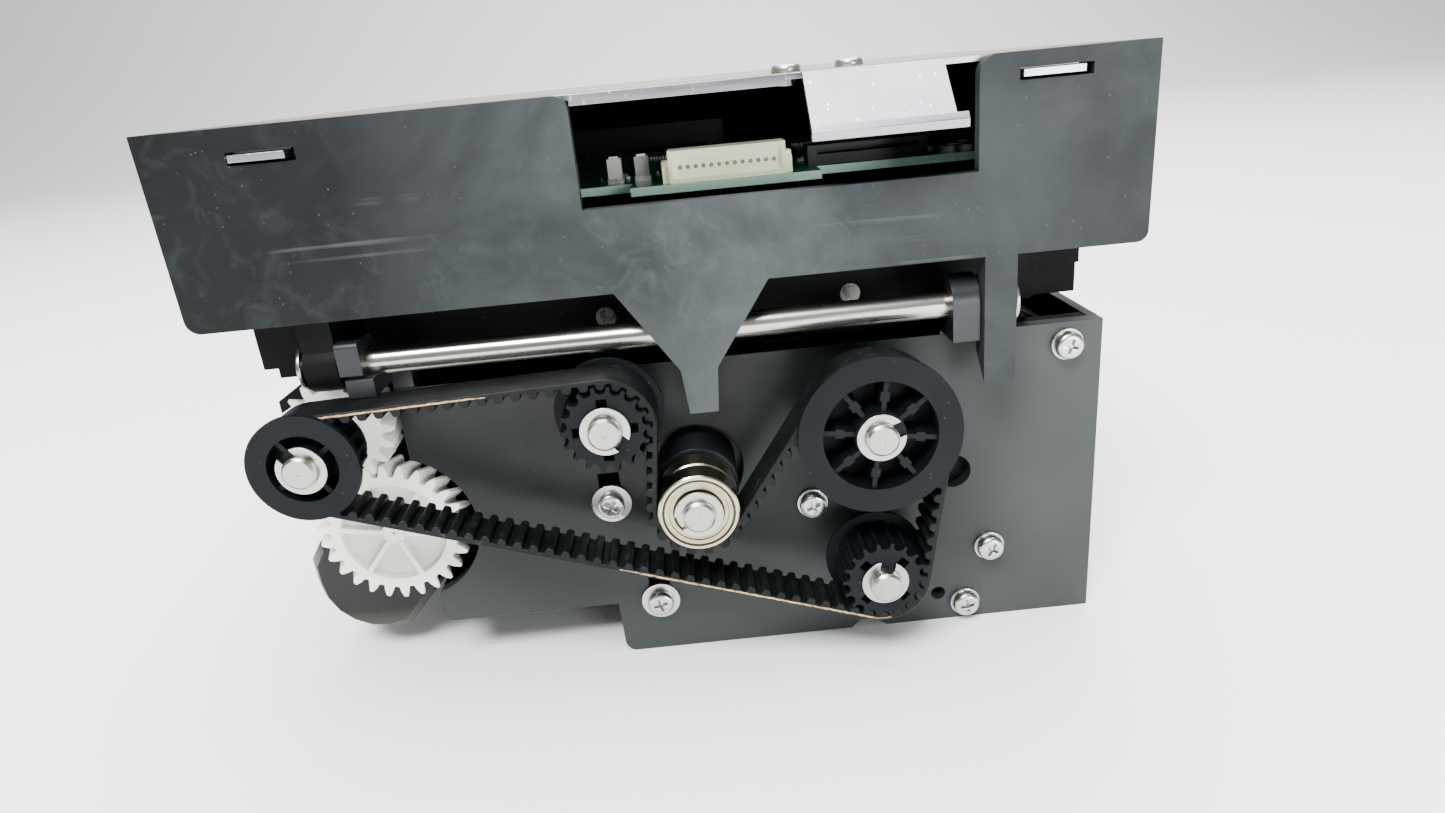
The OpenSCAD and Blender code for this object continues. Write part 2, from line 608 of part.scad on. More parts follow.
module upper_guide() color("#17181a") difference() {
    slab(frame_front + frame_t, frame_rear - frame_t)
        polygon([[-76, guide_bottom], [71, guide_bottom], [79, 71], [79, 73], [70, guide_top],
            [-75, guide_top], [-82.8, 72], [-82.8, 70]]);
    for (y = roller_ys, x = pinch_xs) box([x - 5.4, y - 7, 60], [x + 5.4, y + 7, 75]);
    box([sensor_x[0], frame_front + 4, 60], [sensor_x[1], frame_rear - 4, 75]);
}
module upper_image_sensor() color("#202224") {
    box([sensor_x[0] + 0.4, frame_front + 4.5, 67.3], [sensor_x[1] - 0.4, frame_rear - 4.5, 79]);
    box([sensor_x[0] - 2, frame_front + 4.5, guide_top], [sensor_x[1] + 2.5, frame_rear - 4.5, 71]);
}
module upper_sensor_window() color("#86a8a0")
    box([sensor_x[0] + 1.5, frame_front + 5.5, 66.4], [sensor_x[1] - 1.5, frame_rear - 5.5, 67.3]);

// Pressed steel cover with a front lip, a bent tab and two hooks
cover_t = 1;
cover_z = housing_top - cover_t;
module hook(s) {
    box([s[0][0] + 0.4, inside_front, s[0][1] + 0.5], [s[1][0] - 1.5, inside_front + 1.1, cover_z]);
    box([s[0][0] + 0.4, housing_front - 0.6, s[0][1] + 0.5],
        [s[1][0] - 1.5, inside_front + 1.1, s[0][1] + 1.7]);
}
module top_cover() color("#b7b4ae") difference() {
    union() {
        box([inside_left, inside_front, cover_z], [inside_right, inside_rear, housing_top]);
        box([window_x[0] + 0.3, housing_front, cover_z], [21.6, inside_front + 1, housing_top]);
        box([window_x[0] + 0.3, housing_front, cover_z - 0.8], [21.6, housing_front + cover_t, cover_z]);
        beam(24.3, 47.6) polygon([[-96, cover_z], [-99.4, cover_z], [-107.6, 104.6], [-108.5, 105.1],
            [-99.9, housing_top], [-96, housing_top]]);
        beam(24.3, 49.4) polygon([[-106.9, 105.7], [-107.4, 103.7], [-108.3, 103.8], [-108.5, 105.1],
            [-107.7, 106.2]]);
        hook(slot_left);
        hook(slot_right);
    }
    for (p = [[23.9, -80], [37.3, -70]]) translate([p[0], p[1], cover_z - 1]) cylinder(r = 1.5, h = 4);
}
module cover_screws() color("#d2d2ce") for (p = [[23.9, -80], [37.3, -70]]) {
    translate([p[0], p[1], housing_top]) rotate_extrude() polygon(concat([[0, 0], [2.75, 0], [2.75, 0.6]],
        arc([1.95, 0.6], 0.8, 0, 90), [[0, 1.4]]));
    translate([p[0], p[1], housing_top - 2.4]) cylinder(r = 1.5, h = 2.4);
}

board_top = board_z + board_t;
module main_board() color("#1c6b3f") difference() {
    union() {
        box([-62, -73, board_z], [76, 60, board_top]);
        box([-7, -80, board_z], [29.6, -73, board_top]);
    }
    for (c = post_centres) translate([c[0], c[1], board_z - 1]) cylinder(r = 1.3, h = 4);
}
small_parts = [[-12, -69], [-6.5, -69]];
right_parts = [[55.5, -69], [59, -66], [63, -70]];
module board_components() color("#3a3b3c") {
    for (p = small_parts) translate([p[0], p[1], board_top]) cube([3.2, 3.2, 5.3]);
    for (p = right_parts) translate([p[0], p[1], board_top]) cube([2.2, 3, 1.3]);
    for (x = [-40, -8, 30]) translate([x, -20, board_top]) cube([18, 18, 1.6]);
    for (x = [-50, 58]) translate([x, 30, board_top]) cylinder(r = 4, h = 9);
    translate([-45, 5, board_top]) cube([60, 9, 7]);
}
connector_x = [0.6, 23];
connector_ys = [-79.4, -73.4];
module harness_connector() color("#e4dfb6") difference() {
    union() {
        box([connector_x[0], connector_ys[0], board_top], [connector_x[1], connector_ys[1], board_top + 6]);
        box([connector_x[0] - 1.3, connector_ys[0] + 1.5, board_top],
            [connector_x[1] + 1.3, connector_ys[1], board_top + 3.2]);
    }
    box([connector_x[0] + 1, connector_ys[0] - 1, board_top + 1],
        [connector_x[1] - 1, connector_ys[0] + 4, board_top + 4]);
}
module flat_cable_connector() color("#26272a") difference() {
    box([28, -72.5, board_top], [52, -66.5, board_top + 4]);
    box([30, -74, board_top + 2.2], [50, -69, board_top + 3]);
}

module pinch_shaft(x) color("#b9b7b0") rod([x, pinch_z], pinch_shaft_r, frame_front + 0.2, frame_rear - 0.2);
module pinch_rollers(x) color("#6f7276") for (y = roller_ys)
    ring([x, pinch_z], pinch_r, pinch_shaft_r, y - 5.5, y + 5.5);
module inlet_pinch_shaft() pinch_shaft(pinch_xs[0]);
module inlet_pinch_rollers() pinch_rollers(pinch_xs[0]);
module middle_pinch_shaft() pinch_shaft(pinch_xs[1]);
module middle_pinch_rollers() pinch_rollers(pinch_xs[1]);
module outlet_pinch_shaft() pinch_shaft(pinch_xs[2]);
module outlet_pinch_rollers() pinch_rollers(pinch_xs[2]);

front_side_plate();
rear_side_plate();
front_bearing_wall();
rear_bearing_wall();
base_pan();
lower_guide();
feed_nose();
shaft_bushings();
tension_bracket();
idler_stud();
idler_bearing_inners();
idler_ring();
drive_motor();
case_screws();
slot_screws();
hinge_shaft();
hinge_shaft_rings();
hinge_clip();
hinge_boss();
timing_belt();
lower_image_sensor();
lower_sensor_window();
latch_magnet();
inlet_shaft();
inlet_rollers();
inlet_pulley();
inlet_gear();
inlet_rings();
middle_shaft();
middle_rollers();
middle_pulley();
middle_rings();
outlet_shaft();
outlet_rollers();
outlet_pulley();
outlet_rings();
drive_shaft();
drive_pulley();
drive_ring();
idler_bearing_outers();
feed_shaft();
feed_rollers();
feed_gear();
upper_housing();
upper_frame();
upper_guide();
top_cover();
cover_screws();
main_board();
board_components();
harness_connector();
flat_cable_connector();
upper_image_sensor();
upper_sensor_window();
inlet_pinch_shaft();
inlet_pinch_rollers();
middle_pinch_shaft();
middle_pinch_rollers();
outlet_pinch_shaft();
outlet_pinch_rollers();
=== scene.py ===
"""Looks of the bill validator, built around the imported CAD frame. Metres, Z up."""
import json
import math
import random

import bmesh
import bpy
from mathutils import Matrix, Vector


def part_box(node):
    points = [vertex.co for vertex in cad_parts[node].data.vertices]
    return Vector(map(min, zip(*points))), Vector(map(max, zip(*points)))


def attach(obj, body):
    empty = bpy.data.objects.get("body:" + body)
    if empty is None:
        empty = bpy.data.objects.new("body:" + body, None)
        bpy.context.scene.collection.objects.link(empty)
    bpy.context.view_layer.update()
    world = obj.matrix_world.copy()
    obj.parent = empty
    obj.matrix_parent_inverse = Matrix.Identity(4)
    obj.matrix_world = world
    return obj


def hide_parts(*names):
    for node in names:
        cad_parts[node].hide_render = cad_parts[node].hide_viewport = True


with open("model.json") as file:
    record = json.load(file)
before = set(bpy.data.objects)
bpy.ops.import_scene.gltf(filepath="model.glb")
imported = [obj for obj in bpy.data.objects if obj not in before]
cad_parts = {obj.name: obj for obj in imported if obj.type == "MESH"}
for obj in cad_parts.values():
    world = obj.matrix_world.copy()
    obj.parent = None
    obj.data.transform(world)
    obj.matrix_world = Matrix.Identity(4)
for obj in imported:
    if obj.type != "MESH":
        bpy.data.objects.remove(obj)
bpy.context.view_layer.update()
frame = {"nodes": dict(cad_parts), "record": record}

MM = 0.001
NODES = frame["nodes"]
RECORD_NODES = {s["node"]: s["material_slot"] for s in frame["record"]["subparts"]}
BODY_OF = {n: b for b, names in frame["record"]["behaviour"]["bodies"].items() for n in names}


# ---------------------------------------------------------------- camera and light

PITCH, YAW, ROLL = math.radians(20.5), math.radians(0.7), math.radians(5.5)
CAMERA_AT = Vector((4.33, -255.29, 115.9)) * MM
SENSOR_MM, FOCAL_MM = 36, 22.42


def add_camera():
    forward = Vector((math.sin(YAW) * math.cos(PITCH), math.cos(YAW) * math.cos(PITCH), -math.sin(PITCH)))
    level = Vector((math.cos(YAW), -math.sin(YAW), 0))
    upright = level.cross(forward)
    right = level * math.cos(ROLL) - upright * math.sin(ROLL)
    up = upright * math.cos(ROLL) + level * math.sin(ROLL)
    data = bpy.data.cameras.new("camera")
    data.sensor_width, data.lens = SENSOR_MM, FOCAL_MM
    data.clip_start, data.clip_end = 0.01, 50
    camera = bpy.data.objects.new("camera", data)
    rotation = Matrix((right, up, -forward)).transposed()
    camera.matrix_world = Matrix.Translation(CAMERA_AT) @ rotation.to_4x4()
    bpy.context.collection.objects.link(camera)
    bpy.context.scene.camera = camera


def add_area_light(name, at, target, size, power, colour=(1, 1, 1)):
    data = bpy.data.lights.new(name, "AREA")
    data.shape, data.size, data.size_y = "RECTANGLE", size[0], size[1]
    data.energy, data.color = power, colour
    light = bpy.data.objects.new(name, data)
    light.location = at
    light.rotation_euler = (Vector(target) - Vector(at)).to_track_quat("-Z", "Y").to_euler()
    bpy.context.collection.objects.link(light)


def add_floor_and_light():
    bm = bmesh.new()
    reach, bend = 1.6, 1.2
    section = [(-3.0, 0.0), (-1.0, 0.0), (0.0, 0.0), (0.8, 0.0)]
    section += [(reach + bend * math.sin(a), bend - bend * math.cos(a))
                for a in (math.radians(5 * k) for k in range(19))]
    section.append((reach + bend, 4.0))
    rows = [[bm.verts.new((x, y, z)) for y, z in section] for x in (-6, -2, 2, 6)]
    for here, there in zip(rows, rows[1:]):
        for i in range(len(section) - 1):
            bm.faces.new((here[i], there[i], there[i + 1], here[i + 1]))
    for face in bm.faces:
        face.smooth = True
    floor = new_object("floor", bm)
    look = Look("floor_paper", (0.93, 0.93, 0.93), 0.8)
    look.vary_colour(look.noise(3, 3), (0.92, 0.92, 0.92), (0.94, 0.94, 0.94))
    look.set("Specular IOR Level", 0.2)
    floor.data.materials.append(look.material)
    world = bpy.data.worlds.new("studio")
    world.use_nodes = True
    background = world.node_tree.nodes["Background"]
    background.inputs["Color"].default_value = (0.97, 0.985, 1.0, 1)
    background.inputs["Strength"].default_value = 0.42
    bpy.context.scene.world = world
    add_area_light("key", (-0.25, -0.75, 0.95), (0, -0.09, 0.05), (0.5, 0.35), 34, (1, 0.99, 0.97))
    add_area_light("front", (0.42, -0.8, 0.10), (0.04, -0.1, 0.09), (0.30, 0.22), 5, (0.94, 0.97, 1))
    add_area_light("top", (0.1, 0.1, 1.2), (0, 0, 0.08), (1.2, 1.2), 34)
    add_area_light("back", (0.2, 1.2, 1.6), (0, 1.2, 0.0), (1.6, 1.0), 45)


# ---------------------------------------------------------------- materials

class Look:
    """A Principled material whose colour, roughness and bump come from noise in the part's own frame."""

    def __init__(self, name, base, rough, metallic=0.0):
        self.material = bpy.data.materials.new(name)
        self.material.use_nodes = True
        self.tree = self.material.node_tree
        self.shader = self.tree.nodes["Principled BSDF"]
        self.set("Base Color", (*base, 1))
        self.set("Roughness", rough)
        self.set("Metallic", metallic)
        self.coords = self.node("ShaderNodeTexCoord").outputs["Object"]
        self.colour = None
        self.normal = None

    def node(self, kind, **inputs):
        made = self.tree.nodes.new(kind)
        for key, value in inputs.items():
            self.connect(made.inputs[key], value)
        return made

    def connect(self, socket, value):
        if isinstance(value, bpy.types.NodeSocket):
            self.tree.links.new(value, socket)
        else:
            socket.default_value = value

    def set(self, name, value):
        self.shader.inputs[name].default_value = value

    def placed(self, scale):
        mapping = self.node("ShaderNodeMapping", Vector=self.coords)
        mapping.inputs["Scale"].default_value = scale if isinstance(scale, tuple) else (scale,) * 3
        return mapping.outputs["Vector"]

    def noise(self, scale, detail=4, rough=0.55, distort=0.0):
        made = self.node("ShaderNodeTexNoise", Vector=self.placed(scale))
        made.inputs["Scale"].default_value = 1
        made.inputs["Detail"].default_value = detail
        made.inputs["Roughness"].default_value = rough
        made.inputs["Distortion"].default_value = distort
        return made.outputs["Fac"]

    def cells(self, scale):
        made = self.node("ShaderNodeTexVoronoi", Vector=self.placed(scale))
        made.inputs["Scale"].default_value = 1
        return made.outputs["Distance"]

    def step(self, value, low, high, out_low=0.0, out_high=1.0):
        made = self.node("ShaderNodeMapRange", Value=value)
        for key, number in (("From Min", low), ("From Max", high), ("To Min", out_low), ("To Max", out_high)):
            made.inputs[key].default_value = number
        return made.outputs["Result"]

    def maths(self, operation, a, b):
        made = self.tree.nodes.new("ShaderNodeMath")
        made.operation = operation
        self.connect(made.inputs[0], a)
        self.connect(made.inputs[1], b)
        return made.outputs[0]

    def axis(self, index):
        return self.node("ShaderNodeSeparateXYZ", Vector=self.coords).outputs[index]

    def vary_colour(self, amount, low, high):
        made = self.tree.nodes.new("ShaderNodeMix")
        made.data_type = "RGBA"
        self.connect(made.inputs[0], amount)
        self.connect(made.inputs[6], self.colour if low is None else (*low, 1))
        self.connect(made.inputs[7], (*high, 1))
        self.colour = made.outputs[2]
        self.connect(self.shader.inputs["Base Color"], self.colour)

    def lay(self, amount, colour):
        """A second colour over what is there, where amount is 1."""
        self.vary_colour(amount, None, colour)

    def vary_rough(self, amount, low, high):
        self.connect(self.shader.inputs["Roughness"], self.step(amount, 0, 1, low, high))

    def bump(self, height, strength, distance=0.0002):
        made = self.node("ShaderNodeBump", Height=height)
        made.inputs["Strength"].default_value = strength
        made.inputs["Distance"].default_value = distance
        if self.normal is not None:
            self.connect(made.inputs["Normal"], self.normal)
        self.normal = made.outputs["Normal"]
        self.connect(self.shader.inputs["Normal"], self.normal)

    def specks(self, scale, size, colour, cover=0.5):
        """Small scattered dust specks, thinned out by a broad noise."""
        dots = self.step(self.cells((scale * 1.5, scale, scale * 0.6)), size, size * 0.5)
        patches = self.step(self.noise(scale * 0.17, 2), cover, cover + 0.1)
        self.lay(self.maths("MULTIPLY", dots, patches), colour)

    def scuffs(self, colour, amount, scale=(9, 60, 520)):
        """Faint rubbed lines along X, only in a few patches."""
        lines = self.step(self.noise(scale, 3, 0.6), 0.60, 0.72)
        patches = self.step(self.noise(45, 2), 0.56, 0.68, 0, amount)
        self.lay(self.maths("MULTIPLY", lines, patches), colour)


PALE_SMUDGE = 1.5


def moulded(name, base, rough, grain=1600, grain_depth=0.12, smudge=0.3, dust=0.5, shine=0.3):
    """Moulded plastic: faint cloudy smudges, a fine grain and a few specks of dust."""
    look = Look(name, base, rough)
    look.set("Specular IOR Level", shine)
    low = tuple(c * (1 - smudge) for c in base)
    high = tuple(c * (1 + smudge * PALE_SMUDGE) for c in base)
    clouds = look.noise(38, 5, 0.6, 0.4)
    look.vary_colour(look.step(clouds, 0.35, 0.7), low, high)
    if dust:
        pale = tuple(min(1, c * 4 + 0.10) for c in base)
        look.specks(700, 0.10 * dust + 0.03, pale, 0.46)
    look.vary_rough(look.step(look.noise(60, 4, 0.6), 0.35, 0.65), rough - 0.07, rough + 0.1)
    look.bump(look.noise(grain, 2, 0.5), grain_depth, 0.0001)
    return look


def housing_look():
    """Charcoal housing: cloudy painted light that is palest left of the middle, and wipe marks laid more
    strongly towards the middle as painted light.
    """
    look = moulded("housing_charcoal", (0.0048, 0.0060, 0.0068), 0.5, 1500, 0.2, 0.3, 0.5, 0.13)
    # Painted light: a cloudy lighter band, rising from the left and fading towards the right, stands in for
    # the light falling on the front.
    painted_light_haze = look.step(look.noise(26, 5, 0.62, 0.5), 0.30, 0.66, 0.25, 1)
    painted_light_rise, painted_light_fall = look.step(look.axis(0), -0.055, -0.018), look.step(look.axis(0), 0.0, 0.08, 1, 0.42)
    look.lay(look.maths("MULTIPLY", painted_light_haze, look.maths("MULTIPLY", painted_light_rise, painted_light_fall)), (0.055, 0.064, 0.067))
    blotches = look.step(look.noise(120, 6, 0.65, 1.4), 0.50, 0.70)
    region = look.step(look.noise(18, 2), 0.45, 0.62)
    # Painted light: the wipe marks are laid more strongly near the middle, where the light falls brightest.
    middle = look.step(look.maths("ABSOLUTE", look.axis(0), 0), 0.055, 0.01, 0.35, 1)
    amount = look.maths("MULTIPLY", look.maths("MULTIPLY", blotches, region), middle)
    look.lay(look.maths("MULTIPLY", amount, 0.5), (0.052, 0.066, 0.074))
    look.scuffs((0.10, 0.115, 0.12), 0.4)
    return look


def plate_look():
    """Satin side plate, lighter along its foot and towards its right edge as patchy painted light and floor
    reflection.
    """
    look = moulded("side_plate_satin", (0.0050, 0.0070, 0.0072), 0.38, 900, 0.05, 0.16, 0.3, 0.22)
    look.lay(look.step(look.noise((10, 10, 160), 3, 0.5), 0.60, 0.8, 0, 0.3), (0.024, 0.030, 0.032))
    # Painted reflection and light: the plate is lightened towards its foot and towards its right edge.
    painted_reflection_low = look.step(look.axis(2), 0.034, 0.006, 0, 1)
    painted_light_right = look.step(look.axis(0), 0.03, 0.07, 0, 1)
    painted_light_haze = look.maths("MAXIMUM", painted_reflection_low, painted_light_right)
    patchy = look.step(look.noise(22, 3), 0.25, 0.6, 0.45, 0.8)
    look.lay(look.maths("MULTIPLY", painted_light_haze, patchy), (0.038, 0.043, 0.044))
    look.scuffs((0.066, 0.074, 0.078), 0.3)
    return look


def chassis_look():
    return moulded("chassis_black", (0.0018, 0.0021, 0.0024), 0.5, 1400, 0.12, 0.25, 0.3, 0.08)


def clip_look():
    return moulded("clip_black", (0.0062, 0.0082, 0.0098), 0.34, 1300, 0.14, 0.25, 0.4, 0.38)


def pulley_look():
    return moulded("pulley_blue_black", (0.0022, 0.0036, 0.0048), 0.48, 1500, 0.14, 0.25, 0.4, 0.12)


def nose_look():
    """Black nose whose lower rim is lightened towards the bottom as a painted floor reflection."""
    look = moulded("nose_painted_rim_reflection", (0.0042, 0.0048, 0.0042), 0.34, 900, 0.08, 0.45, 0.4, 0.25)
    # Painted floor reflection: a lighter grey-brown towards the bottom rim.
    edge = look.maths("ADD", look.axis(2), look.maths("MULTIPLY", look.noise(60, 3), 0.004))
    look.lay(look.step(edge, 0.0145, 0.0088, 0, 0.85), (0.060, 0.057, 0.047))
    return look


def gear_look():
    look = Look("gear_acetal", (0.80, 0.79, 0.72), 0.34)
    look.vary_colour(look.step(look.noise(90, 4), 0.35, 0.7), (0.74, 0.735, 0.665), (0.86, 0.85, 0.79))
    grime = look.step(look.noise(260, 5, 0.6, 1), 0.6, 0.75)
    look.lay(look.maths("MULTIPLY", grime, 0.4), (0.52, 0.50, 0.42))
    look.set("Subsurface Weight", 0.25)
    look.set("Subsurface Radius", (0.002, 0.002, 0.0016))
    look.set("Subsurface Scale", 0.5)
    look.bump(look.noise(800, 2), 0.06)
    return look


def web_look():
    """The gear's thin web, greyer where the dark behind shows through."""
    look = Look("gear_web", (0.52, 0.54, 0.48), 0.36)
    look.vary_colour(look.step(look.noise(90, 4), 0.3, 0.7), (0.47, 0.50, 0.43), (0.58, 0.60, 0.54))
    look.bump(look.noise(800, 2), 0.06)
    return look


def steel_look(name, base, rough, scale=(400, 20, 400), streak=0.12):
    """Turned or drawn steel with fine streaks and a little tarnish."""
    look = Look(name, base, rough, 1.0)
    streaks = look.noise(scale, 3, 0.6)
    dark = tuple(c * (1 - streak * 2) for c in base)
    look.vary_colour(look.step(streaks, 0.3, 0.7), dark, base)
    stain = look.step(look.noise(120, 4, 0.6), 0.58, 0.75, 0, 0.35)
    look.lay(stain, (base[0] * 0.75, base[1] * 0.68, base[2] * 0.52))
    look.vary_rough(look.step(streaks, 0.3, 0.7), rough - 0.06, rough + 0.1)
    look.bump(streaks, 0.03, 0.00001)
    return look


def zinc_look():
    """Zinc-plated screws with a yellowish passivation."""
    look = steel_look("screw_zinc", (0.50, 0.52, 0.51), 0.27, (200, 200, 200), 0.03)
    look.lay(look.step(look.noise(420, 2), 0.54, 0.68, 0, 0.45), (0.55, 0.52, 0.34))
    return look


def belt_look():
    """Black rubber, rubbed grey in small spots."""
    look = Look("belt_black_rubber", (0.006, 0.0065, 0.0072), 0.5)
    clouds = look.step(look.noise(140, 5, 0.6), 0.35, 0.7)
    look.vary_colour(clouds, (0.0016, 0.0022, 0.0024), (0.0050, 0.0064, 0.0068))
    look.set("Specular IOR Level", 0.14)
    spots = look.step(look.noise(700, 4, 0.6), 0.58, 0.7)
    worn = look.maths("MULTIPLY", spots, look.step(look.noise(70, 2), 0.45, 0.6))
    look.lay(look.maths("MULTIPLY", worn, 0.35), (0.07, 0.07, 0.07))
    look.vary_rough(look.noise(200, 3), 0.38, 0.62)
    look.bump(look.noise(1800, 3), 0.25, 0.0001)
    return look


def cord_look():
    look = Look("belt_cord_tan", (0.35, 0.22, 0.12), 0.85)
    fibres = look.step(look.noise((900, 300, 900), 4), 0.35, 0.65)
    look.vary_colour(fibres, (0.20, 0.12, 0.065), (0.52, 0.35, 0.20))
    look.bump(look.noise(2500, 2), 0.5)
    return look


def rubber_look(name, base):
    look = Look(name, base, 0.78)
    clouds = look.step(look.noise(160, 4), 0.35, 0.7)
    look.vary_colour(clouds, tuple(c * 0.75 for c in base), tuple(c * 1.35 for c in base))
    look.bump(look.noise((300, 1500, 300), 3), 0.2, 0.0001)
    return look


def shield_look():
    look = Look("bearing_shield_oily", (0.38, 0.34, 0.21), 0.3, 0.85)
    film = look.step(look.noise(260, 4, 0.6, 0.5), 0.3, 0.7)
    look.vary_colour(film, (0.30, 0.25, 0.12), (0.46, 0.43, 0.30))
    look.set("Coat Weight", 0.3)
    look.set("Coat Roughness", 0.12)
    return look


def groove_shade_look():
    # Painted shade: a near-black brown for the bearing's grooves.
    look = Look("bearing_groove_painted_shade", (0.020, 0.016, 0.008), 0.5)
    look.vary_colour(look.noise(500, 3), (0.012, 0.010, 0.006), (0.035, 0.028, 0.014))
    return look


def cover_look():
    look = steel_look("cover_stainless", (0.36, 0.37, 0.40), 0.28, (25, 420, 420), 0.08)
    look.lay(look.step(look.noise(60, 4), 0.5, 0.7, 0, 0.4), (0.28, 0.29, 0.34))
    look.specks(420, 0.13, (0.90, 0.90, 0.90), 0.40)
    return look


def cover_top_look():
    """The cover's flat top: warm steel with stains, a brown painted reflection along its front edge, and pale
    golden specks painted as glints.
    """
    look = steel_look("cover_top_stains_and_painted_reflection", (0.34, 0.325, 0.305), 0.36, (60, 900, 900), 0.03)
    look.lay(look.step(look.noise(40, 4), 0.5, 0.75, 0, 0.4), (0.30, 0.26, 0.22))
    # Painted reflection: the brown band along the front edge stands in for the brown surroundings seen in the
    # steel.
    edge = look.maths("ADD", look.axis(1), look.maths("MULTIPLY", look.noise(60, 3), 0.016))
    look.lay(look.step(edge, -0.084, -0.066, 0.9, 0), (0.20, 0.105, 0.050))
    # Painted glints: pale golden specks over the top.
    look.specks(500, 0.12, (0.85, 0.75, 0.62), 0.42)
    return look


def board_look():
    look = Look("board_solder_mask", (0.010, 0.19, 0.085), 0.32)
    tracks = look.step(look.noise((150, 150, 10), 1, 0.2, 2.5), 0.49, 0.52)
    look.vary_colour(tracks, (0.008, 0.15, 0.066), (0.022, 0.29, 0.14))
    vias = look.step(look.cells(330), 0.2, 0.17)
    look.lay(look.maths("MULTIPLY", vias, look.step(look.noise(60, 1), 0.5, 0.55)), (0.20, 0.42, 0.22))
    look.set("Coat Weight", 0.5)
    look.set("Coat Roughness", 0.12)
    look.bump(tracks, 0.2, 0.00004)
    return look


def edge_look():
    look = Look("board_edge", (0.50, 0.86, 0.66), 0.55)
    look.vary_colour(look.noise((700, 700, 2500), 3), (0.40, 0.76, 0.54), (0.66, 0.94, 0.78))
    return look


def nylon_look():
    look = Look("connector_nylon", (0.93, 0.97, 0.62), 0.42)
    look.vary_colour(look.step(look.noise(130, 4), 0.35, 0.7), (0.90, 0.95, 0.56), (0.97, 0.98, 0.74))
    # Painted light: a faint glow makes the nylon look brighter, though it is no lamp.
    look.set("Emission Color", (0.9, 1.0, 0.7, 1))
    look.set("Emission Strength", 0.22)
    look.bump(look.noise(900, 2), 0.05)
    return look


def tin_look():
    return steel_look("solder_tin", (0.78, 0.78, 0.76), 0.3, (900, 900, 900), 0.1)


def glass_look():
    look = Look("sensor_glass", (0.35, 0.42, 0.41), 0.08)
    look.vary_colour(look.noise(40, 3), (0.30, 0.36, 0.36), (0.40, 0.48, 0.46))
    look.vary_rough(look.noise(90, 3), 0.05, 0.16)
    look.set("Transmission Weight", 0.4)
    return look


LOOKS = {
    "side_plate_plastic": plate_look, "chassis_plastic": chassis_look, "nose_plastic": nose_look,
    "base_steel": lambda: moulded("base_coated", (0.022, 0.023, 0.025), 0.45, 1100, 0.2, 0.2, 0.4),
    "housing_plastic": housing_look, "pulley_plastic": pulley_look, "gear_plastic": gear_look,
    "bush_plastic": nylon_look,
    "shaft_steel": lambda: steel_look("shaft_steel", (0.40, 0.395, 0.365), 0.28, (500, 15, 500), 0.08),
    "bearing_steel": lambda: steel_look("bearing_steel", (0.46, 0.43, 0.31), 0.17, (300, 40, 300), 0.08),
    "ring_steel": lambda: steel_look("ring_nickel", (0.42, 0.415, 0.39), 0.24, (200, 200, 200), 0.05),
    "screw_zinc": zinc_look, "belt_rubber": belt_look,
    "roller_rubber": lambda: rubber_look("roller_rubber", (0.022, 0.022, 0.023)),
    "feed_rubber": lambda: rubber_look("feed_rubber", (0.42, 0.27, 0.23)),
    "pinch_plastic": lambda: moulded("pinch_grey", (0.16, 0.165, 0.17), 0.4, 900, 0.05, 0.15, 0),
    "motor_steel": lambda: steel_look("motor_zinc", (0.52, 0.53, 0.54), 0.38, (200, 60, 200)),
    "magnet_steel": lambda: steel_look("magnet_nickel", (0.45, 0.45, 0.46), 0.3, (200, 200, 200)),
    "sensor_plastic": lambda: moulded("sensor_black", (0.013, 0.013, 0.015), 0.4, 1200, 0.1, 0.2, 0.3),
    "sensor_glass": glass_look, "cover_steel": cover_look, "board_green": board_look,
    "component_plastic":
        lambda: moulded("component_black", (0.016, 0.017, 0.019), 0.42, 1400, 0.15, 0.2, 0.3),
    "connector_nylon": nylon_look,
}
_made = {}


def material(slot):
    if slot not in _made:
        _made[slot] = LOOKS[slot]().material
    return _made[slot]


# ---------------------------------------------------------------- mesh helpers

def new_object(name, bm):
    mesh = bpy.data.meshes.new(name)
    bm.to_mesh(mesh)
    bm.free()
    made = bpy.data.objects.new(name, mesh)
    bpy.context.collection.objects.link(made)
    return made


def add_piece(name, bm, body, looks, replaced=(), smooth_angle=32):
    """A finished piece: shaded, given its materials, riding on its body."""
    shade(bm, smooth_angle)
    made = new_object(name, bm)
    for look in looks:
        made.data.materials.append(look)
    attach(made, body)
    if replaced:
        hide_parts(*replaced)
    return made


def shade(bm, angle):
    bm.normal_update()
    for face in bm.faces:
        face.smooth = True
    limit = math.radians(angle)
    for edge in bm.edges:
        edge.smooth = len(edge.link_faces) == 2 and edge.calc_face_angle(0) < limit


def applied(made):
    """The object's mesh with its modifiers applied."""
    depsgraph = bpy.context.evaluated_depsgraph_get()
    mesh = bpy.data.meshes.new_from_object(made.evaluated_get(depsgraph))
    made.modifiers.clear()
    made.data = mesh


